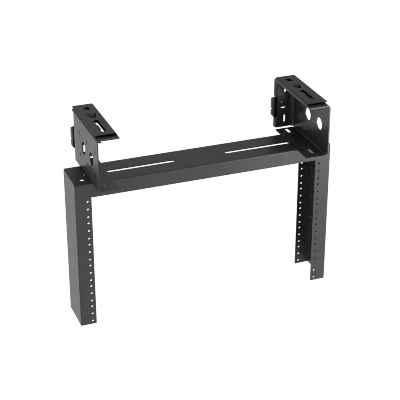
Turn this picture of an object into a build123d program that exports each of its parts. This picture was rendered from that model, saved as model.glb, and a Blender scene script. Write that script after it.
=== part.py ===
from build123d import *
import os

# Ceiling mount rack: two channel rails hang from a cross beam, which two tall
# brackets carry up to the ceiling. Millimetres, +Z up, the front looks along -Y.
# The origin is the centre of the left cap's top face, which bears on the ceiling.

# Rack standard
rack_units = 6
hole_step_long = 15.875
hole_step_short = 12.7
opening_width = 450.85
rack_hole = 4.4
rack_hole_inset = 7.125

# Rails: one folded channel each, web outside, flanges front and rear
rail_sheet = 2.0
rail_flange = 30.7
rail_depth = 76.2
rail_bend = 2.5
web_hole = 3.0
web_hole_front_inset = 19.0
web_hole_rear_inset = 6.6
web_hole_drop = 12.5

# Cross beam: one folded channel, open below, between the rails' webs, with a deep
# apron in front and a short lip behind
beam_sheet = 2.0
beam_height = 28.8
beam_rear_lip = 15.0
beam_bend = 2.5
beam_rear_overhang = 3.2
apron_to_first_hole = 7.8
slot_width = 9.0
slot_inner_x = 51.0
slot_end_inset = 70.1
corner_relief = 3.0
tie_hole = 9.0
tie_hole_end_inset = 17.5
tie_hole_front_inset = 19.5
tie_small_hole = 5.5
tie_small_hole_end_inset = 28.1
tie_small_hole_front_inset = 40.0
end_hole = 3.0
end_hole_end_inset = 10.8
end_hole_front_insets = (24.5, 63.0)

# Brackets: one folded sheet each, open towards the middle of the rack
bracket_sheet = 2.0
bracket_width = 41.3
bracket_length = 160.1
bracket_height = 108.5
bracket_bend = 5.0
front_overhang = 51.5
base_front_inset = 6.0
base_rear_inset = 8.0
back_bend = 10.0
back_plate_gap = 2.6
back_plate_top_gap = 0.4
back_edge_inset = 2.0
back_lip = 8.0
back_lip_bend = 1.5
back_lip_relief = 1.0
vent_hole = 24.5
vent_pitch = 49.7
vent_centre_from_front = 65.75
vent_rise = 53.0
pin_hole = 4.0
pin_row_rise = 22.3
base_slot_width = 7.0
base_slot_length = 22.0
base_slot_front_inset = 27.0
base_slot_middle_inset = 50.0
base_slot_rear_inset = 13.0
back_slot_width = 4.0
back_slot_length = 16.0
back_slot_from_edge = 21.3
back_slot_low_rise = 20.4
back_slot_high_rise = 83.4
cross_slot_length = 10.5
cross_slot_from_edge = 18.0
cross_slot_rise = 43.2
back_hole = 3.5
back_hole_from_edge = 15.3
back_hole_rise = 54.9

# Caps: a stiffening plate over each bracket's top flange, held just off it by low bosses
cap_sheet = 2.0
cap_standoff = 1.6
cap_length = 145.6
cap_lip = 7.0
cap_bend = 4.0
cap_outer_inset = 1.0
cap_seat_gap = 0.3
cap_opening_from_edge = 19.2
boss_diameter = 5.0
boss_inner_inset = 8.4
boss_outer_inset = 8.4
boss_end_inset = 9.0
carriage_width = 10.0
carriage_length = 14.0
carriage_from_rear = 21.6
pocket_width = 20.0
pocket_tip_width = 10.0
pocket_length = 20.5
pocket_depth = 7.0
pocket_from_rear = 46.6
pocket_clearance = 0.6
cap_slot_width = 9.0
cap_slot_length = 55.0
cap_slot_from_rear = 105.5
keyhole_from_edge = 16.0
keyhole_length = 58.0
keyhole_neck = 3.2
keyhole_front_width = 8.4
keyhole_front_length = 23.0
keyhole_rear_width = 5.0
keyhole_rear_length = 18.0

# Rear clips: a U channel on the back of each bracket, lips pointing back
clip_sheet = 2.0
clip_depth = 18.0
clip_height = 43.5
clip_rise = 24.0
clip_slope_drop = 9.0
clip_notch_height = 3.0
clip_notch_depth = 6.0
clip_notch_rise = 13.0
clip_bend = 3.0

# Places worked out from the sizes above
unit_height = 2 * hole_step_long + hole_step_short
hole_steps = (hole_step_long, hole_step_long, hole_step_short)
hole_span = opening_width + 2 * rack_hole_inset
mid_x = opening_width / 2 - bracket_width / 2
front_y = -(bracket_length - front_overhang - cap_length / 2)
rear_y = front_y + rail_depth
depth_mid_y = (front_y + rear_y) / 2
outer_x = opening_width / 2 + rail_flange
bracket_outer = opening_width / 2
bracket_inner = bracket_outer - bracket_width
bracket_mid = (bracket_outer + bracket_inner) / 2
cap_opening_x = mid_x + bracket_inner + cap_opening_from_edge
bracket_front_y = front_y - front_overhang
bracket_rear_y = bracket_front_y + bracket_length
beam_top_z = -bracket_height
beam_bottom_z = beam_top_z - beam_height
first_hole_z = beam_bottom_z - apron_to_first_hole
hole_zs = [first_hole_z]
for index in range(rack_units * 3 - 1):
    hole_zs.append(hole_zs[-1] - hole_steps[index % 3])
rail_bottom_z = hole_zs[-1] - hole_step_short / 2
mid_plane = Plane.YZ.offset(mid_x)
beam_end = outer_x - rail_sheet
beam_rear_y = rear_y + beam_rear_overhang
rear_lip_bottom_z = beam_top_z - beam_rear_lip
pocket_fold_y = bracket_rear_y - pocket_from_rear
pocket_tip_y = pocket_fold_y - pocket_length
cap_slot_y = bracket_rear_y - cap_slot_from_rear
clip_back_y = bracket_rear_y + clip_depth
clip_bottom_z = beam_top_z + clip_rise
clip_top_z = clip_bottom_z + clip_height

os.makedirs("parts", exist_ok=True)


def save(part, name):
    part.label = name
    export_step(part, f"parts/{name}.step")


def pocket_outline(grow):
    # A trapezium, wide behind, where the ramp starts, and narrow at its deep front end
    Polygon(
        (cap_opening_x - pocket_tip_width / 2 - grow, pocket_tip_y - grow),
        (cap_opening_x + pocket_tip_width / 2 + grow, pocket_tip_y - grow),
        (cap_opening_x + pocket_width / 2 + grow, pocket_fold_y + grow),
        (cap_opening_x - pocket_width / 2 - grow, pocket_fold_y + grow),
        align=None,
    )


def back_openings():
    with Locations(
        (mid_x + bracket_inner + back_slot_from_edge, beam_top_z + back_slot_low_rise),
        (mid_x + bracket_inner + back_slot_from_edge, beam_top_z + back_slot_high_rise),
    ):
        SlotOverall(back_slot_length, back_slot_width, rotation=90)
    with Locations((mid_x + bracket_inner + cross_slot_from_edge, beam_top_z + cross_slot_rise)):
        SlotOverall(cross_slot_length, back_slot_width)
    with Locations((mid_x + bracket_inner + back_hole_from_edge, beam_top_z + back_hole_rise)):
        Circle(back_hole / 2)


# Right rail, drawn in the rack's right half and mirrored for the left
rail_length = beam_top_z - rail_bottom_z
with BuildPart() as right_rail:
    with BuildSketch(Plane.XY.offset(rail_bottom_z)):
        with BuildLine():
            FilletPolyline(
                (mid_x + opening_width / 2, front_y),
                (mid_x + outer_x, front_y),
                (mid_x + outer_x, rear_y),
                (mid_x + opening_width / 2, rear_y),
                radius=rail_bend,
            )
            offset(amount=rail_sheet, side=Side.LEFT)
        make_face()
    extrude(amount=rail_length)
    # The front flange stops at the beam's apron, the rear one runs up inside the beam to
    # its plate, and only the web reaches its top
    for edge_y, flange_top in ((front_y, beam_bottom_z), (rear_y, beam_top_z - beam_sheet)):
        with BuildSketch(Plane.XY.offset(flange_top)):
            with Locations((mid_x + beam_end, edge_y)):
                Rectangle(rail_flange * 2, rail_depth, align=(Align.MAX, Align.CENTER))
        extrude(amount=beam_top_z - flange_top, mode=Mode.SUBTRACT)
    with BuildSketch(Plane.YZ.offset(mid_x + outer_x - rail_sheet)):
        with Locations((front_y, beam_top_z), (rear_y, beam_top_z)):
            Rectangle(corner_relief * 2, corner_relief * 2)
    extrude(amount=rail_sheet, mode=Mode.SUBTRACT)
    # Rack holes, front and rear
    with BuildSketch(Plane.XZ.offset(-rear_y)):
        with Locations([(mid_x + hole_span / 2, z) for z in hole_zs]):
            Circle(rack_hole / 2)
    extrude(amount=rail_depth, mode=Mode.SUBTRACT)
    # Small fixing holes along both edges of the web
    with BuildSketch(Plane.YZ.offset(mid_x + outer_x - rail_sheet)):
        for index in range(rack_units + 1):
            z = beam_top_z - web_hole_drop - index * unit_height
            with Locations((front_y + web_hole_front_inset, z), (rear_y - web_hole_rear_inset, z)):
                Circle(web_hole / 2)
    extrude(amount=rail_sheet, mode=Mode.SUBTRACT)
save(right_rail.part, "right_rail")

with BuildPart() as left_rail:
    add(mirror(right_rail.part, about=mid_plane, mode=Mode.PRIVATE))
save(left_rail.part, "left_rail")


# Cross beam: a channel, open below, from web to web
with BuildPart() as cross_beam:
    with BuildSketch(Plane.YZ.offset(mid_x - beam_end)):
        with BuildLine():
            FilletPolyline(
                (front_y, beam_bottom_z),
                (front_y, beam_top_z),
                (beam_rear_y, beam_top_z),
                (beam_rear_y, rear_lip_bottom_z),
                radius=beam_bend,
            )
            offset(amount=beam_sheet, side=Side.RIGHT)
        make_face()
    extrude(amount=2 * beam_end)
    with BuildSketch(Plane.XY.offset(beam_top_z)):
        slot_outer_x = beam_end - slot_end_inset
        slot_mid = (slot_inner_x + slot_outer_x) / 2
        tie_x = beam_end - tie_hole_end_inset
        tie_small_x = beam_end - tie_small_hole_end_inset
        for side in (-1, 1):
            with Locations((mid_x + side * slot_mid, depth_mid_y)):
                SlotOverall(slot_outer_x - slot_inner_x, slot_width)
            with Locations((mid_x + side * tie_x, front_y + tie_hole_front_inset)):
                Circle(tie_hole / 2)
            with Locations((mid_x + side * tie_small_x, front_y + tie_small_hole_front_inset)):
                Circle(tie_small_hole / 2)
            end_x = mid_x + side * (beam_end - end_hole_end_inset)
            with Locations([(end_x, front_y + inset) for inset in end_hole_front_insets]):
                Circle(end_hole / 2)
    extrude(amount=-beam_sheet, mode=Mode.SUBTRACT)
save(cross_beam.part, "cross_beam")


# Right bracket: side plate with top flange, base plate and back plate folded in
top_z = -cap_sheet - cap_standoff
back_bottom = beam_top_z + bracket_bend
back_top = top_z - bracket_bend - back_plate_top_gap
back_edge_x = mid_x + bracket_inner + back_edge_inset
with BuildPart() as right_bracket:
    with BuildSketch(Plane.XZ.offset(-bracket_rear_y)):
        with BuildLine():
            FilletPolyline(
                (mid_x + bracket_inner, beam_top_z),
                (mid_x + bracket_outer, beam_top_z),
                (mid_x + bracket_outer, top_z),
                (mid_x + bracket_inner, top_z),
                radius=bracket_bend,
            )
            offset(amount=bracket_sheet, side=Side.LEFT)
        make_face()
    extrude(amount=bracket_length)
    # The base plate is shorter than the side plate at both ends
    for edge_y, inset in ((bracket_front_y, base_front_inset), (bracket_rear_y, base_rear_inset)):
        with BuildSketch(Plane.XY.offset(beam_top_z)):
            with Locations((mid_x + bracket_outer, edge_y)):
                Rectangle(bracket_width, inset * 2, align=(Align.MAX, Align.CENTER))
        extrude(amount=back_bottom - beam_top_z, mode=Mode.SUBTRACT)
    # The side plate's rear edge gives way to the back plate's wide bend
    with BuildSketch(Plane.XY.offset(beam_top_z)):
        with Locations((mid_x + bracket_outer, bracket_rear_y)):
            Rectangle(bracket_bend * 2, back_bend * 2)
    extrude(amount=top_z - bracket_bend - beam_top_z, mode=Mode.SUBTRACT)
    # Back plate, folded in from the side plate's rear edge, with a return lip behind. Its
    # wide bend is cut short of the sheet's other two bends, above and below
    flat_bottom = beam_top_z + back_plate_gap
    flat_top = top_z - bracket_sheet - back_plate_top_gap
    for bottom, top, sweep in (
        (back_bottom, back_top, 90),
        (flat_bottom, back_bottom, 80),
        (back_top, flat_top, 25),
    ):
        with BuildSketch(Plane.XY.offset(bottom)):
            with BuildLine():
                CenterArc(
                    (mid_x + bracket_outer - back_bend, bracket_rear_y - back_bend),
                    back_bend,
                    90 - sweep,
                    sweep,
                )
                FilletPolyline(
                    (mid_x + bracket_outer - back_bend, bracket_rear_y),
                    (back_edge_x + bracket_sheet, bracket_rear_y),
                    (back_edge_x + bracket_sheet, bracket_rear_y + back_lip),
                    radius=back_lip_bend,
                )
                offset(amount=bracket_sheet, side=Side.LEFT)
            make_face()
        extrude(amount=top - bottom)
    # The lip is relieved beside the rear clip
    with BuildSketch(Plane.XY.offset(clip_bottom_z - back_lip_relief)):
        with Locations((back_edge_x, bracket_rear_y + back_lip)):
            lip_width = bracket_sheet + back_lip_bend
            Rectangle(lip_width, back_lip * 2, align=(Align.MIN, Align.MAX))
    extrude(amount=clip_height + 2 * back_lip_relief, mode=Mode.SUBTRACT)
    # Large round holes and small pin holes in the side plate
    with BuildSketch(Plane.YZ.offset(mid_x + bracket_outer - bracket_sheet)):
        vent_z = beam_top_z + vent_rise
        vent_y = bracket_front_y + vent_centre_from_front
        with Locations((vent_y - vent_pitch / 2, vent_z), (vent_y + vent_pitch / 2, vent_z)):
            Circle(vent_hole / 2)
        for row in (-1, 1):
            pin_z = vent_z + row * pin_row_rise
            with Locations([(vent_y + step * vent_pitch, pin_z) for step in (-1, 0, 1)]):
                Circle(pin_hole / 2)
    extrude(amount=bracket_sheet, mode=Mode.SUBTRACT)
    # Slots in the base plate
    with BuildSketch(Plane.XY.offset(beam_top_z)):
        base_front_y = bracket_front_y + base_front_inset
        base_rear_y = bracket_rear_y - base_rear_inset
        with Locations(
            (mid_x + bracket_mid, base_front_y + base_slot_front_inset),
            (mid_x + bracket_mid, base_rear_y - base_slot_middle_inset),
            (mid_x + bracket_mid, base_rear_y - base_slot_rear_inset),
        ):
            SlotOverall(base_slot_length, base_slot_width, rotation=90)
    extrude(amount=bracket_sheet, mode=Mode.SUBTRACT)
    # Slots and hole in the back plate
    with BuildSketch(Plane.XZ.offset(-bracket_rear_y)):
        back_openings()
    extrude(amount=bracket_sheet, mode=Mode.SUBTRACT)
    # The top flange is narrower where the cap's lip comes down beside it
    with BuildSketch(Plane.XY.offset(top_z)):
        with Locations((mid_x + bracket_inner, bracket_rear_y)):
            Rectangle(cap_sheet + cap_seat_gap, cap_length, align=(Align.MIN, Align.MAX))
    extrude(amount=-bracket_sheet, mode=Mode.SUBTRACT)
    # Openings of the top flange, under the cap's: square hole, pocket window, keyhole
    with BuildSketch(Plane.XY.offset(top_z)):
        with Locations((cap_opening_x, bracket_rear_y - carriage_from_rear)):
            Rectangle(carriage_width, carriage_length)
        pocket_outline(cap_sheet + pocket_clearance)
        # The keyhole's inner edge is straight, and its widths step out from it
        keyhole_edge_x = mid_x + bracket_inner + keyhole_from_edge
        front_bulb_y = cap_slot_y - keyhole_length / 2 + keyhole_front_length / 2
        rear_bulb_y = cap_slot_y + keyhole_length / 2 - keyhole_rear_length / 2
        with Locations((keyhole_edge_x, (front_bulb_y + rear_bulb_y) / 2)):
            neck_align = (Align.MIN, Align.CENTER)
            Rectangle(keyhole_neck, rear_bulb_y - front_bulb_y, align=neck_align)
        with Locations((keyhole_edge_x + keyhole_front_width / 2, front_bulb_y)):
            SlotOverall(keyhole_front_length, keyhole_front_width, rotation=90)
        with Locations((keyhole_edge_x + keyhole_rear_width / 2, rear_bulb_y)):
            SlotOverall(keyhole_rear_length, keyhole_rear_width, rotation=90)
    extrude(amount=-bracket_sheet, mode=Mode.SUBTRACT)
save(right_bracket.part, "right_bracket")

with BuildPart() as left_bracket:
    add(mirror(right_bracket.part, about=mid_plane, mode=Mode.PRIVATE))
save(left_bracket.part, "left_bracket")


# Right cap: a plate over the top flange with its inner edge folded down as a lip, and
# a ramped pocket drawn down through the flange's window
ramp_plane = Plane(
    origin=(cap_opening_x, pocket_fold_y, 0),
    x_dir=(1, 0, 0),
    z_dir=(0, -pocket_depth, pocket_length),
)
with BuildPart() as pocket_outside:
    with BuildSketch(Plane.XY):
        pocket_outline(cap_sheet)
    extrude(amount=-pocket_depth - 2 * cap_sheet)
    split(bisect_by=ramp_plane.offset(-cap_sheet), keep=Keep.TOP)
with BuildPart() as pocket_inside:
    with BuildSketch(Plane.XY):
        pocket_outline(0)
    extrude(amount=-pocket_depth - cap_sheet)
    split(bisect_by=ramp_plane, keep=Keep.TOP)

with BuildPart() as right_cap:
    with BuildSketch(Plane.XZ.offset(-bracket_rear_y)):
        with BuildLine():
            FilletPolyline(
                (mid_x + bracket_inner, -cap_lip),
                (mid_x + bracket_inner, 0),
                (mid_x + bracket_outer - cap_outer_inset, 0),
                radius=cap_bend,
            )
            offset(amount=cap_sheet, side=Side.RIGHT)
        make_face()
    extrude(amount=cap_length)
    # Low bosses that stand on the flange
    with BuildSketch(Plane.XY.offset(-cap_sheet)):
        boss_reach = cap_length / 2 - boss_end_inset
        for boss_x in (bracket_inner + boss_inner_inset, bracket_outer - boss_outer_inset):
            with Locations(
                (mid_x + boss_x, boss_reach), (mid_x + boss_x, 0), (mid_x + boss_x, -boss_reach)
            ):
                Circle(boss_diameter / 2)
    extrude(amount=-cap_standoff)
    with BuildSketch(Plane.XY):
        with Locations((cap_opening_x, bracket_rear_y - carriage_from_rear)):
            Rectangle(carriage_width, carriage_length)
        with Locations((cap_opening_x, cap_slot_y)):
            SlotOverall(cap_slot_length, cap_slot_width, rotation=90)
    extrude(amount=-cap_sheet, mode=Mode.SUBTRACT)
    add(pocket_outside.part)
    add(pocket_inside.part, mode=Mode.SUBTRACT)
save(right_cap.part, "right_cap")

with BuildPart() as left_cap:
    add(mirror(right_cap.part, about=mid_plane, mode=Mode.PRIVATE))
save(left_cap.part, "left_cap")


# Right rear clip: a U channel on the back plate, lips pointing back
with BuildPart() as right_rear_clip:
    with BuildSketch(Plane.XY.offset(clip_bottom_z)):
        with BuildLine():
            FilletPolyline(
                (mid_x + bracket_inner, clip_back_y),
                (mid_x + bracket_inner, bracket_rear_y),
                (mid_x + bracket_outer, bracket_rear_y),
                (mid_x + bracket_outer, clip_back_y),
                radius=clip_bend,
            )
            offset(amount=clip_sheet, side=Side.LEFT)
        make_face()
    extrude(amount=clip_height)
    # The lips' top edges slope down towards the rear, and each has a notch from behind
    with BuildSketch(Plane.YZ.offset(mid_x + bracket_inner)):
        with BuildLine():
            Polyline(
                (clip_back_y, clip_top_z),
                (bracket_rear_y + clip_sheet, clip_top_z),
                (clip_back_y, clip_top_z - clip_slope_drop),
                close=True,
            )
        make_face()
        with Locations((clip_back_y, clip_bottom_z + clip_notch_rise)):
            Rectangle(clip_notch_depth * 2, clip_notch_height)
    extrude(amount=bracket_width, mode=Mode.SUBTRACT)
    with BuildSketch(Plane.XZ.offset(-bracket_rear_y - clip_sheet)):
        back_openings()
    extrude(amount=clip_sheet, mode=Mode.SUBTRACT)
save(right_rear_clip.part, "right_rear_clip")

with BuildPart() as left_rear_clip:
    add(mirror(right_rear_clip.part, about=mid_plane, mode=Mode.PRIVATE))
save(left_rear_clip.part, "left_rear_clip")
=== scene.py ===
import math

import bmesh
import bpy
from mathutils import Euler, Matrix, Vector


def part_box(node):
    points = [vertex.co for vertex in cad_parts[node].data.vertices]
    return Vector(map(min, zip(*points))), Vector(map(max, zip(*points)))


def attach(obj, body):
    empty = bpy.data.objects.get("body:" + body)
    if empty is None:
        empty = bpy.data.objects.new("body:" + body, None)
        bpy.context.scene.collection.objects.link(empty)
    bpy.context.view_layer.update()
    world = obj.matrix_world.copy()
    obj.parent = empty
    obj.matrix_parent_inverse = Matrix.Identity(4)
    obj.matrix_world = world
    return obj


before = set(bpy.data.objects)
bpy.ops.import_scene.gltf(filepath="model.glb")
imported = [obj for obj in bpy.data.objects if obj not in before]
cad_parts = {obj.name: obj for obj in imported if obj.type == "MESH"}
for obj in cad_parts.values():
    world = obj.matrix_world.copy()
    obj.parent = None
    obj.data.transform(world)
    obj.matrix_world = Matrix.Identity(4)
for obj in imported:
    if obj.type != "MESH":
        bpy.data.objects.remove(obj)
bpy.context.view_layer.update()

MM = 0.001


# Side rails: two folded steel channels that carry the rack holes, powder coated
# black. The coat is a baked paint with a fine grain, a slow orange peel and small
# changes of sheen. Its shader groups are made here and used by every steel piece;
# one of them darkens colour and mirror as painted shade in holes, gaps and corners.
COAT_IOR = 1.5
PATCH_SPREAD = (0.3, 0.7)
CREVICE_RAYS = 8
WIDE_SPREAD = (0.35, 0.85)


def socket(group, name, side, kind, value=None):
    made = group.interface.new_socket(name, in_out=side, socket_type=kind)
    if value is not None:
        made.default_value = value
    return made


def coat_relief():
    group = bpy.data.node_groups.new("coat_relief", "ShaderNodeTree")
    socket(group, "Grain Size", "INPUT", "NodeSocketFloat", 0.0006)
    socket(group, "Peel Size", "INPUT", "NodeSocketFloat", 0.004)
    socket(group, "Peel Share", "INPUT", "NodeSocketFloat", 0.5)
    socket(group, "Height", "OUTPUT", "NodeSocketFloat")
    nodes, links = group.nodes, group.links
    given = nodes.new("NodeGroupInput")
    place = nodes.new("ShaderNodeTexCoord")
    layers = []
    for size, detail in (("Grain Size", 2.0), ("Peel Size", 1.0)):
        scale = nodes.new("ShaderNodeMath")
        scale.operation = "DIVIDE"
        scale.inputs[0].default_value = 1.0
        links.new(given.outputs[size], scale.inputs[1])
        noise = nodes.new("ShaderNodeTexNoise")
        noise.inputs["Detail"].default_value = detail
        links.new(place.outputs["Object"], noise.inputs["Vector"])
        links.new(scale.outputs[0], noise.inputs["Scale"])
        layers.append(noise)
    mix = nodes.new("ShaderNodeMix")
    mix.data_type = "FLOAT"
    links.new(given.outputs["Peel Share"], mix.inputs["Factor"])
    links.new(layers[0].outputs["Fac"], mix.inputs["A"])
    links.new(layers[1].outputs["Fac"], mix.inputs["B"])
    result = nodes.new("NodeGroupOutput")
    links.new(mix.outputs["Result"], result.inputs["Height"])
    return group


def coat_tone():
    group = bpy.data.node_groups.new("coat_tone", "ShaderNodeTree")
    socket(group, "Dark", "INPUT", "NodeSocketColor", (0.05, 0.05, 0.052, 1))
    socket(group, "Light", "INPUT", "NodeSocketColor", (0.07, 0.07, 0.072, 1))
    socket(group, "Patch Size", "INPUT", "NodeSocketFloat", 0.05)
    socket(group, "Smooth", "INPUT", "NodeSocketFloat", 0.4)
    socket(group, "Dull", "INPUT", "NodeSocketFloat", 0.5)
    socket(group, "Color", "OUTPUT", "NodeSocketColor")
    socket(group, "Roughness", "OUTPUT", "NodeSocketFloat")
    nodes, links = group.nodes, group.links
    given = nodes.new("NodeGroupInput")
    place = nodes.new("ShaderNodeTexCoord")
    scale = nodes.new("ShaderNodeMath")
    scale.operation = "DIVIDE"
    scale.inputs[0].default_value = 1.0
    links.new(given.outputs["Patch Size"], scale.inputs[1])
    noise = nodes.new("ShaderNodeTexNoise")
    noise.inputs["Detail"].default_value = 4.0
    links.new(place.outputs["Object"], noise.inputs["Vector"])
    links.new(scale.outputs[0], noise.inputs["Scale"])
    spread = nodes.new("ShaderNodeMapRange")
    for label, limit in zip(("From Min", "From Max"), PATCH_SPREAD):
        spread.inputs[label].default_value = limit
    links.new(noise.outputs["Fac"], spread.inputs["Value"])
    tone = nodes.new("ShaderNodeMix")
    tone.data_type = "RGBA"
    links.new(spread.outputs["Result"], tone.inputs["Factor"])
    links.new(given.outputs["Dark"], tone.inputs["A"])
    links.new(given.outputs["Light"], tone.inputs["B"])
    sheen = nodes.new("ShaderNodeMix")
    sheen.data_type = "FLOAT"
    links.new(spread.outputs["Result"], sheen.inputs["Factor"])
    links.new(given.outputs["Smooth"], sheen.inputs["A"])
    links.new(given.outputs["Dull"], sheen.inputs["B"])
    result = nodes.new("NodeGroupOutput")
    links.new(tone.outputs["Result"], result.inputs["Color"])
    links.new(sheen.outputs["Result"], result.inputs["Roughness"])
    return group


def painted_crevice_shade(name, own_faces_only):
    # Painted shade: 1 on open faces, down to Depth in holes and gaps, and to Wide Depth in
    # corners
    group = bpy.data.node_groups.new(name, "ShaderNodeTree")
    socket(group, "Reach", "INPUT", "NodeSocketFloat", 0.005)
    socket(group, "Closed", "INPUT", "NodeSocketFloat", 0.1)
    socket(group, "Open", "INPUT", "NodeSocketFloat", 0.5)
    socket(group, "Depth", "INPUT", "NodeSocketFloat", 0.15)
    socket(group, "Wide Reach", "INPUT", "NodeSocketFloat", 0.04)
    socket(group, "Wide Depth", "INPUT", "NodeSocketFloat", 1.0)
    socket(group, "Openness", "OUTPUT", "NodeSocketFloat")
    nodes, links = group.nodes, group.links
    given = nodes.new("NodeGroupInput")
    both = nodes.new("ShaderNodeMath")
    both.operation = "MULTIPLY"
    for step, (reach, depth) in enumerate((("Reach", "Depth"), ("Wide Reach", "Wide Depth"))):
        around = nodes.new("ShaderNodeAmbientOcclusion")
        around.samples = CREVICE_RAYS
        around.only_local = own_faces_only
        links.new(given.outputs[reach], around.inputs["Distance"])
        spread = nodes.new("ShaderNodeMapRange")
        if reach == "Reach":
            links.new(given.outputs["Closed"], spread.inputs["From Min"])
            links.new(given.outputs["Open"], spread.inputs["From Max"])
        else:
            for label, limit in zip(("From Min", "From Max"), WIDE_SPREAD):
                spread.inputs[label].default_value = limit
        links.new(around.outputs["AO"], spread.inputs["Value"])
        links.new(given.outputs[depth], spread.inputs["To Min"])
        links.new(spread.outputs["Result"], both.inputs[step])
    result = nodes.new("NodeGroupOutput")
    links.new(both.outputs[0], result.inputs["Openness"])
    return group


RELIEF = coat_relief()
TONE = coat_tone()
CREVICE_SHADE = painted_crevice_shade("painted_crevice_shade", False)
OWN_CREVICE_SHADE = painted_crevice_shade("own_painted_crevice_shade", True)


def powder_coat(name, dark, light, patch, smooth, dull, mirror=0.5, relief=0.00002, **crevices):
    made = bpy.data.materials.new(name)
    made.use_nodes = True
    nodes, links = made.node_tree.nodes, made.node_tree.links
    shader = nodes["Principled BSDF"]
    shader.inputs["IOR"].default_value = COAT_IOR
    tone = nodes.new("ShaderNodeGroup")
    tone.node_tree = TONE
    tone.inputs["Dark"].default_value = (dark, dark, dark, 1)
    tone.inputs["Light"].default_value = (light, light, light, 1)
    tone.inputs["Patch Size"].default_value = patch
    tone.inputs["Smooth"].default_value = smooth
    tone.inputs["Dull"].default_value = dull
    height = nodes.new("ShaderNodeGroup")
    height.node_tree = RELIEF
    bump = nodes.new("ShaderNodeBump")
    bump.inputs["Distance"].default_value = relief
    # Painted shade: colour and mirror are scaled down in holes, gaps and corners
    crevice = nodes.new("ShaderNodeGroup")
    crevice.node_tree = crevices.pop("group", CREVICE_SHADE)
    for label, value in crevices.items():
        crevice.inputs[label.replace("_", " ").title()].default_value = value
    shaded = nodes.new("ShaderNodeVectorMath")
    shaded.operation = "SCALE"
    links.new(tone.outputs["Color"], shaded.inputs["Vector"])
    links.new(crevice.outputs["Openness"], shaded.inputs["Scale"])
    shine = nodes.new("ShaderNodeMath")
    shine.operation = "MULTIPLY"
    shine.inputs[1].default_value = mirror
    links.new(crevice.outputs["Openness"], shine.inputs[0])
    links.new(shaded.outputs["Vector"], shader.inputs["Base Color"])
    links.new(shine.outputs[0], shader.inputs["Specular IOR Level"])
    links.new(tone.outputs["Roughness"], shader.inputs["Roughness"])
    links.new(height.outputs["Height"], bump.inputs["Height"])
    links.new(bump.outputs["Normal"], shader.inputs["Normal"])
    return made


def coat(node, material):
    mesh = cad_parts[node].data
    mesh.materials.clear()
    mesh.materials.append(material)


rail_coat = powder_coat("rail_coat", 0.056, 0.064, 0.05, 0.27, 0.33)
for side in ("left", "right"):
    coat(f"{side}_rail", rail_coat)


# Unit marks: a hair line scribed beside the rack holes of the right rail at each
# boundary between two rack units. Each is a strip of darker paint, a few hundredths
# of a millimetre proud, laid by instances down the flange.
UNIT = 44.45 * MM
MARKS = 5
MARK_LENGTH = 15 * MM
MARK_WIDTH = 0.45 * MM
MARK_PROUD = 0.03 * MM
MARK_FROM_EDGE = 8.5 * MM
FIRST_HOLE_DROP = 7.8 * MM
FIRST_MARK_DROP = 38.1 * MM


def tree(name, numbers):
    made = bpy.data.node_groups.new(name, "GeometryNodeTree")
    socket(made, "Geometry", "INPUT", "NodeSocketGeometry")
    for label, value in numbers.items():
        if isinstance(value, int):
            socket(made, label, "INPUT", "NodeSocketInt", value)
        elif isinstance(value, bpy.types.Material):
            socket(made, label, "INPUT", "NodeSocketMaterial", value)
        else:
            socket(made, label, "INPUT", "NodeSocketFloat", value)
    socket(made, "Geometry", "OUTPUT", "NodeSocketGeometry")
    return made


def row_tree():
    # A row of blocks, each Length by Height by Depth, Pitch apart and going down
    numbers = {"Count": 5, "Pitch": 0.04, "Length": 0.01, "Height": 0.001, "Depth": 0.0001}
    made = tree("row_of_marks", numbers)
    nodes, links = made.nodes, made.links
    given = nodes.new("NodeGroupInput")
    step = nodes.new("ShaderNodeCombineXYZ")
    down = nodes.new("ShaderNodeMath")
    down.operation = "MULTIPLY"
    down.inputs[1].default_value = -1.0
    links.new(given.outputs["Pitch"], down.inputs[0])
    links.new(down.outputs[0], step.inputs["Z"])
    line = nodes.new("GeometryNodeMeshLine")
    links.new(given.outputs["Count"], line.inputs["Count"])
    links.new(step.outputs[0], line.inputs["Offset"])
    size = nodes.new("ShaderNodeCombineXYZ")
    links.new(given.outputs["Length"], size.inputs["X"])
    links.new(given.outputs["Depth"], size.inputs["Y"])
    links.new(given.outputs["Height"], size.inputs["Z"])
    block = nodes.new("GeometryNodeMeshCube")
    links.new(size.outputs[0], block.inputs["Size"])
    place = nodes.new("GeometryNodeInstanceOnPoints")
    links.new(line.outputs["Mesh"], place.inputs["Points"])
    links.new(block.outputs["Mesh"], place.inputs["Instance"])
    return finish_tree(made, given, place.outputs["Instances"])


def finish_tree(made, given, instances):
    nodes, links = made.nodes, made.links
    socket(made, "Paint", "INPUT", "NodeSocketMaterial")
    real = nodes.new("GeometryNodeRealizeInstances")
    paint = nodes.new("GeometryNodeSetMaterial")
    result = nodes.new("NodeGroupOutput")
    links.new(instances, real.inputs["Geometry"])
    links.new(real.outputs["Geometry"], paint.inputs["Geometry"])
    links.new(given.outputs["Paint"], paint.inputs["Material"])
    links.new(paint.outputs["Geometry"], result.inputs["Geometry"])
    return made


def grown(name, made_tree, values, origin):
    # The tree's result as a plain mesh, with its place in its vertices
    seed = bpy.data.objects.new(name, bpy.data.meshes.new(name))
    bpy.context.scene.collection.objects.link(seed)
    modifier = seed.modifiers.new("grow", "NODES")
    modifier.node_group = made_tree
    for item in made_tree.interface.items_tree:
        if item.in_out == "INPUT" and item.name in values:
            modifier[item.identifier] = values[item.name]
    graph = bpy.context.evaluated_depsgraph_get()
    mesh = bpy.data.meshes.new_from_object(seed.evaluated_get(graph))
    seed.modifiers.remove(modifier)
    seed.data = mesh
    for vertex in mesh.vertices:
        vertex.co += Vector(origin)
    return seed


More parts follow.
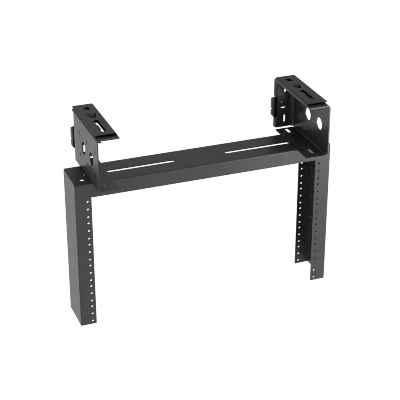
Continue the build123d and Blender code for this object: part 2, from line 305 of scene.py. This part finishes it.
beam_low, beam_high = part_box("cross_beam")
rail_low, rail_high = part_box("right_rail")
mark_paint = powder_coat("scribed_line", 0.008, 0.012, 0.01, 0.7, 0.8)
mark_x = rail_low.x + MARK_FROM_EDGE + MARK_LENGTH / 2
mark_z = beam_low.z - FIRST_HOLE_DROP - FIRST_MARK_DROP
unit_marks = grown(
    "unit_marks",
    row_tree(),
    {
        "Count": MARKS,
        "Pitch": UNIT,
        "Length": MARK_LENGTH,
        "Height": MARK_WIDTH,
        "Depth": MARK_PROUD * 2,
        "Paint": mark_paint,
    },
    (mark_x, rail_low.y, mark_z),
)
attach(unit_marks, "root")


# Cross beam: one folded channel across the top of both rails, with a deep apron in
# front, a short lip behind and two long slots. The same coat, a little duller on its
# wide flat top.
# Its painted shade in holes, gaps and corners counts only the beam's own faces.
coat("cross_beam", powder_coat("beam_coat", 0.056, 0.064, 0.07, 0.29, 0.35, group=OWN_CREVICE_SHADE))


# Brackets: tall folded boxes, open towards the middle, that stand on the beam and
# reach the ceiling. Painted shade darkens the coat on the lips behind the back plates,
# and fills a slot outline round each pin hole of the left bracket's outer face.
LIP_FROM = 75.0 * MM
SLOT_FACE = -20.3 * MM
SLOT_WIDTH = 5 * MM
SLOT_LENGTH = 9.5 * MM
SLOTS = [(y * MM, z * MM) for z in (-33.2, -77.8) for y in (-71.25, -21.55, 28.15)]
BRACKET_SHADE = 0.04


def calculate(nodes, links, operation, *values):
    made = nodes.new("ShaderNodeMath")
    made.operation = operation
    for given, place in zip(values, made.inputs):
        if isinstance(given, float):
            place.default_value = given
        else:
            links.new(given, place)
    return made.outputs[0]


def painted_shade_on_bracket(nodes, links, x, y, z):
    # Painted shade mask: 1 on the rear lips and inside each slot's rounded outline, and 0
    # elsewhere
    dark = calculate(nodes, links, "GREATER_THAN", y, LIP_FROM)
    outer_face = calculate(nodes, links, "LESS_THAN", x, SLOT_FACE)
    for slot_y, slot_z in SLOTS:
        across = calculate(nodes, links, "SUBTRACT", y, slot_y)
        along = calculate(nodes, links, "SUBTRACT", z, slot_z)
        along = calculate(nodes, links, "ABSOLUTE", along)
        past = calculate(nodes, links, "SUBTRACT", along, (SLOT_LENGTH - SLOT_WIDTH) / 2)
        past = calculate(nodes, links, "MAXIMUM", past, 0.0)
        squares = [calculate(nodes, links, "MULTIPLY", leg, leg) for leg in (across, past)]
        reach = calculate(nodes, links, "SQRT", calculate(nodes, links, "ADD", *squares))
        inside = calculate(nodes, links, "LESS_THAN", reach, SLOT_WIDTH / 2)
        slot = calculate(nodes, links, "MULTIPLY", inside, outer_face)
        dark = calculate(nodes, links, "MAXIMUM", dark, slot)
    return dark


def painted_shade_group(name, share, place_of):
    # A painted shade group: it gives Share where place_of gives 1, and 1 where it gives 0
    group = bpy.data.node_groups.new(name, "ShaderNodeTree")
    socket(group, "Share", "INPUT", "NodeSocketFloat", share)
    socket(group, "Shade", "OUTPUT", "NodeSocketFloat")
    nodes, links = group.nodes, group.links
    given = nodes.new("NodeGroupInput")
    place = nodes.new("ShaderNodeTexCoord")
    split = nodes.new("ShaderNodeSeparateXYZ")
    links.new(place.outputs["Object"], split.inputs[0])
    shade = nodes.new("ShaderNodeMapRange")
    shade.inputs["To Min"].default_value = 1.0
    links.new(given.outputs["Share"], shade.inputs["To Max"])
    links.new(place_of(nodes, links, *split.outputs), shade.inputs["Value"])
    result = nodes.new("NodeGroupOutput")
    links.new(shade.outputs["Result"], result.inputs["Shade"])
    return group


def shade_coat(material, group):
    # Painted shade: colour and mirror of a coat, both times the group's Shade
    nodes, links = material.node_tree.nodes, material.node_tree.links
    shade = nodes.new("ShaderNodeGroup")
    shade.node_tree = group
    shader = nodes["Principled BSDF"]
    for name, kind, operation, factor in (
        ("Base Color", "ShaderNodeVectorMath", "SCALE", "Scale"),
        ("Specular IOR Level", "ShaderNodeMath", "MULTIPLY", 1),
    ):
        arriving = shader.inputs[name].links[0].from_socket
        shaded = nodes.new(kind)
        shaded.operation = operation
        links.new(arriving, shaded.inputs[0])
        links.new(shade.outputs["Shade"], shaded.inputs[factor])
        links.new(shaded.outputs[0], shader.inputs[name])


bracket_coat = powder_coat(
    "bracket_coat", 0.054, 0.062, 0.06, 0.26, 0.32, open=0.75, depth=0.1, wide_depth=0.5
)
shade_coat(bracket_coat, painted_shade_group("painted_shade_on_bracket", BRACKET_SHADE, painted_shade_on_bracket))
for side in ("left", "right"):
    coat(f"{side}_bracket", bracket_coat)


# Stud: the end of a press-in screw, black, under the left bracket's top flange in
# front. It is turned from rod, with its end rounded off.
STUD_AT = (-14.2 * MM, -81.8 * MM)
STUD_TOP = -5.6 * MM
STUD_WIDTH = 4.5 * MM
STUD_LENGTH = 5 * MM
STUD_SIDES = 32
STUD_BEVEL = 0.5 * MM
stud_mesh = bmesh.new()
bmesh.ops.create_cone(
    stud_mesh,
    cap_ends=True,
    segments=STUD_SIDES,
    radius1=STUD_WIDTH / 2,
    radius2=STUD_WIDTH / 2,
    depth=STUD_LENGTH,
)
stud_end = [edge for edge in stud_mesh.edges if all(vertex.co.z < 0 for vertex in edge.verts)]
bmesh.ops.bevel(stud_mesh, geom=stud_end, offset=STUD_BEVEL, segments=2, affect="EDGES")
for vertex in stud_mesh.verts:
    vertex.co += Vector((*STUD_AT, STUD_TOP - STUD_LENGTH / 2))
mesh = bpy.data.meshes.new("stud")
stud_mesh.to_mesh(mesh)
stud_mesh.free()
stud = bpy.data.objects.new("stud", mesh)
bpy.context.scene.collection.objects.link(stud)
mesh.materials.append(powder_coat("stud_coat", 0.016, 0.022, 0.01, 0.5, 0.6, mirror=0.2))
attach(stud, "root")


# Caps: stiff plates just over the brackets' top flanges, which bear on the ceiling.
# Their inner edge is rolled down, and a ramped pocket is drawn down into each.
# Painted shade darkens the coat along the outer edges, which read as a dark line.
CAP_EDGE_FROM_MIDDLE = 224.2 * MM
CAP_EDGE_SHADE = 0.3


def painted_shade_on_cap(nodes, links, x, y, z):
    middle = (beam_low.x + beam_high.x) / 2
    out = calculate(nodes, links, "SUBTRACT", x, middle)
    out = calculate(nodes, links, "ABSOLUTE", out)
    return calculate(nodes, links, "GREATER_THAN", out, CAP_EDGE_FROM_MIDDLE)


cap_coat = powder_coat(
    "cap_coat", 0.058, 0.066, 0.04, 0.32, 0.40, reach=0.02, closed=0.6, open=0.97, depth=0.05
)
shade_coat(cap_coat, painted_shade_group("painted_shade_on_cap", CAP_EDGE_SHADE, painted_shade_on_cap))
for side in ("left", "right"):
    coat(f"{side}_cap", cap_coat)


# Rear clips: small channels welded to the back plates, with their lips pointing back.
# Painted shade darkens their coat, all but the strip along the lips' free edges.
CLIP_DARK_TO = 84 * MM
CLIP_SHADE = 0.14


def painted_shade_on_clip(nodes, links, x, y, z):
    return calculate(nodes, links, "LESS_THAN", y, CLIP_DARK_TO)


clip_coat = powder_coat("clip_coat", 0.050, 0.058, 0.03, 0.30, 0.38)
shade_coat(clip_coat, painted_shade_group("painted_shade_on_clip", CLIP_SHADE, painted_shade_on_clip))
for side in ("left", "right"):
    coat(f"{side}_rear_clip", clip_coat)


# Weld beads: short uneven runs of weld that close the small reliefs between each
# clip's ends and the bracket's lip, painted over.
BEAD_COUNT = 8
BEAD_PITCH = 1.2 * MM
BEAD_RADIUS = 1.4 * MM
BEAD_UNEVEN = 0.12
BEAD_SEED = 7
BEAD_FROM_EDGE = 3.4 * MM
BEAD_FROM_WEB = 1.6 * MM
BEAD_GAP = 1 * MM
BEAD_SUBDIVISIONS = 2


def bead_tree():
    # A row of uneven round drops along Y
    numbers = {"Count": 7, "Pitch": 0.001, "Radius": 0.001, "Uneven": 0.1, "Seed": 1}
    made = tree("weld_bead", numbers)
    nodes, links = made.nodes, made.links
    given = nodes.new("NodeGroupInput")
    step = nodes.new("ShaderNodeCombineXYZ")
    links.new(given.outputs["Pitch"], step.inputs["Y"])
    line = nodes.new("GeometryNodeMeshLine")
    links.new(given.outputs["Count"], line.inputs["Count"])
    links.new(step.outputs[0], line.inputs["Offset"])
    drop = nodes.new("GeometryNodeMeshIcoSphere")
    drop.inputs["Subdivisions"].default_value = BEAD_SUBDIVISIONS
    links.new(given.outputs["Radius"], drop.inputs["Radius"])
    least = calculate(nodes, links, "SUBTRACT", 1.0, given.outputs["Uneven"])
    most = calculate(nodes, links, "ADD", 1.0, given.outputs["Uneven"])
    size = nodes.new("FunctionNodeRandomValue")
    links.new(least, size.inputs["Min"])
    links.new(most, size.inputs["Max"])
    links.new(given.outputs["Seed"], size.inputs["Seed"])
    place = nodes.new("GeometryNodeInstanceOnPoints")
    links.new(line.outputs["Mesh"], place.inputs["Points"])
    links.new(drop.outputs["Mesh"], place.inputs["Instance"])
    links.new(size.outputs["Value"], place.inputs["Scale"])
    return finish_tree(made, given, place.outputs["Instances"])


bead_values = {
    "Count": BEAD_COUNT,
    "Pitch": BEAD_PITCH,
    "Radius": BEAD_RADIUS,
    "Uneven": BEAD_UNEVEN,
    "Seed": BEAD_SEED,
    "Paint": powder_coat("bead_coat", 0.014, 0.020, 0.01, 0.5, 0.6, mirror=0.15),
}
beads = bead_tree()
for side, inward in (("left", -1), ("right", 1)):
    clip_low, clip_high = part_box(f"{side}_rear_clip")
    bead_x = (clip_high.x if side == "left" else clip_low.x) + inward * BEAD_FROM_EDGE
    for end, bead_z in (("low", clip_low.z - BEAD_GAP / 2), ("high", clip_high.z + BEAD_GAP / 2)):
        start = (bead_x, clip_low.y - BEAD_FROM_WEB, bead_z)
        bead = grown(f"{side}_{end}_weld_bead", beads, bead_values, start)
        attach(bead, "root")


# Floor: a plain pale sheet well below the hanging rack. The camera sees it nearly
# white, the satin coat mirrors it as a bright sheet, and it takes the rack's shadow.
FLOOR_DROP = 0.35
FLOOR_SIZE = 30.0
FLOOR_WHITE = 1.05
FLOOR_MIRRORED = 0.79
FLOOR_COLOUR = (0.35, 0.35, 0.35, 1)
CAMERA_SHARE = 0.95
FLOOR_ROUGHNESS = 0.9


def floor_paint():
    made = bpy.data.materials.new("pale_floor")
    made.use_nodes = True
    nodes, links = made.node_tree.nodes, made.node_tree.links
    shader = nodes["Principled BSDF"]
    shader.inputs["Base Color"].default_value = FLOOR_COLOUR
    shader.inputs["Roughness"].default_value = FLOOR_ROUGHNESS
    shader.inputs["Specular IOR Level"].default_value = 0.0
    glow = nodes.new("ShaderNodeEmission")
    glow.inputs["Color"].default_value = (1, 1, 1, 1)
    path = nodes.new("ShaderNodeLightPath")
    strength = nodes.new("ShaderNodeMapRange")
    strength.inputs["To Min"].default_value = FLOOR_MIRRORED
    strength.inputs["To Max"].default_value = FLOOR_WHITE
    links.new(path.outputs["Is Camera Ray"], strength.inputs["Value"])
    links.new(strength.outputs["Result"], glow.inputs["Strength"])
    share = nodes.new("ShaderNodeMath")
    share.operation = "MULTIPLY_ADD"
    share.inputs[1].default_value = CAMERA_SHARE
    links.new(path.outputs["Is Camera Ray"], share.inputs[0])
    links.new(path.outputs["Is Glossy Ray"], share.inputs[2])
    mix = nodes.new("ShaderNodeMixShader")
    links.new(share.outputs[0], mix.inputs["Fac"])
    links.new(shader.outputs["BSDF"], mix.inputs[1])
    links.new(glow.outputs["Emission"], mix.inputs[2])
    links.new(mix.outputs["Shader"], nodes["Material Output"].inputs["Surface"])
    return made


def flat_sheet(name, size, height):
    sheet_mesh = bmesh.new()
    bmesh.ops.create_grid(sheet_mesh, x_segments=1, y_segments=1, size=size / 2)
    mesh = bpy.data.meshes.new(name)
    sheet_mesh.to_mesh(mesh)
    sheet_mesh.free()
    for vertex in mesh.vertices:
        vertex.co.z += height
    made = bpy.data.objects.new(name, mesh)
    bpy.context.scene.collection.objects.link(made)
    return made


floor = flat_sheet("floor", FLOOR_SIZE, rail_low.z - FLOOR_DROP)
floor.data.materials.append(floor_paint())


# Studio light: most of it is the bright sheet and surround, mirrored at a low angle in
# the satin coat. A soft box stands near the right end in front, with three faint ones.
PIXEL_BLUR = 0.9
WORLD_FILL = 0.23
WORLD_MIRRORED = 0.335
LAMPS = (
    ("right_softbox", (0.95, -0.80, -0.15), (0.42, 0.0, -0.22), 0.66, 8.8),
    ("front_softbox", (-0.5, -1.2, 0.3), (0.2, 0.0, -0.1), 0.8, 2.2),
    ("left_softbox", (-0.95, 0.05, -0.35), (0.0, 0.0, -0.20), 0.7, 1.5),
    ("rear_softbox", (0.2, 1.6, 1.0), (0.2, 0.0, -0.1), 1.4, 0.4),
)
for name, at, towards, size, power in LAMPS:
    lamp = bpy.data.lights.new(name, "AREA")
    lamp.shape = "SQUARE"
    lamp.size = size
    lamp.energy = power
    placed = bpy.data.objects.new(name, lamp)
    placed.location = at
    placed.rotation_euler = (Vector(towards) - Vector(at)).to_track_quat("-Z", "Y").to_euler()
    bpy.context.scene.collection.objects.link(placed)

surround = bpy.data.worlds.new("surround")
surround.use_nodes = True
bpy.context.scene.world = surround
world_nodes, world_links = surround.node_tree.nodes, surround.node_tree.links
backing = world_nodes["Background"]
backing.inputs["Color"].default_value = (1, 1, 1, 1)
world_path = world_nodes.new("ShaderNodeLightPath")
mirrored = world_nodes.new("ShaderNodeMapRange")
mirrored.inputs["To Min"].default_value = WORLD_FILL
mirrored.inputs["To Max"].default_value = WORLD_MIRRORED
world_links.new(world_path.outputs["Is Glossy Ray"], mirrored.inputs["Value"])
seen = world_nodes.new("ShaderNodeMapRange")
seen.inputs["To Max"].default_value = 1.0
world_links.new(world_path.outputs["Is Camera Ray"], seen.inputs["Value"])
world_links.new(mirrored.outputs["Result"], seen.inputs["To Min"])
world_links.new(seen.outputs["Result"], backing.inputs["Strength"])
bpy.context.scene.view_settings.view_transform = "Standard"
bpy.context.scene.cycles.filter_width = PIXEL_BLUR


# Camera: the photograph's own, from the left and above, with a long lens.
CAMERA_AT = (-0.5664, -2.0196, 0.8891)
CAMERA_TILT = math.radians(63.27)
CAMERA_TURN = math.radians(-20.89)
SENSOR = 36.0
FOCAL = 113.4
SEES_TO = 60
lens = bpy.data.cameras.new("camera")
lens.sensor_width = SENSOR
lens.sensor_fit = "HORIZONTAL"
lens.lens = FOCAL
lens.clip_end = SEES_TO
camera = bpy.data.objects.new("camera", lens)
camera.location = CAMERA_AT
camera.rotation_euler = Euler((CAMERA_TILT, 0, CAMERA_TURN))
bpy.context.scene.collection.objects.link(camera)
bpy.context.scene.camera = camera
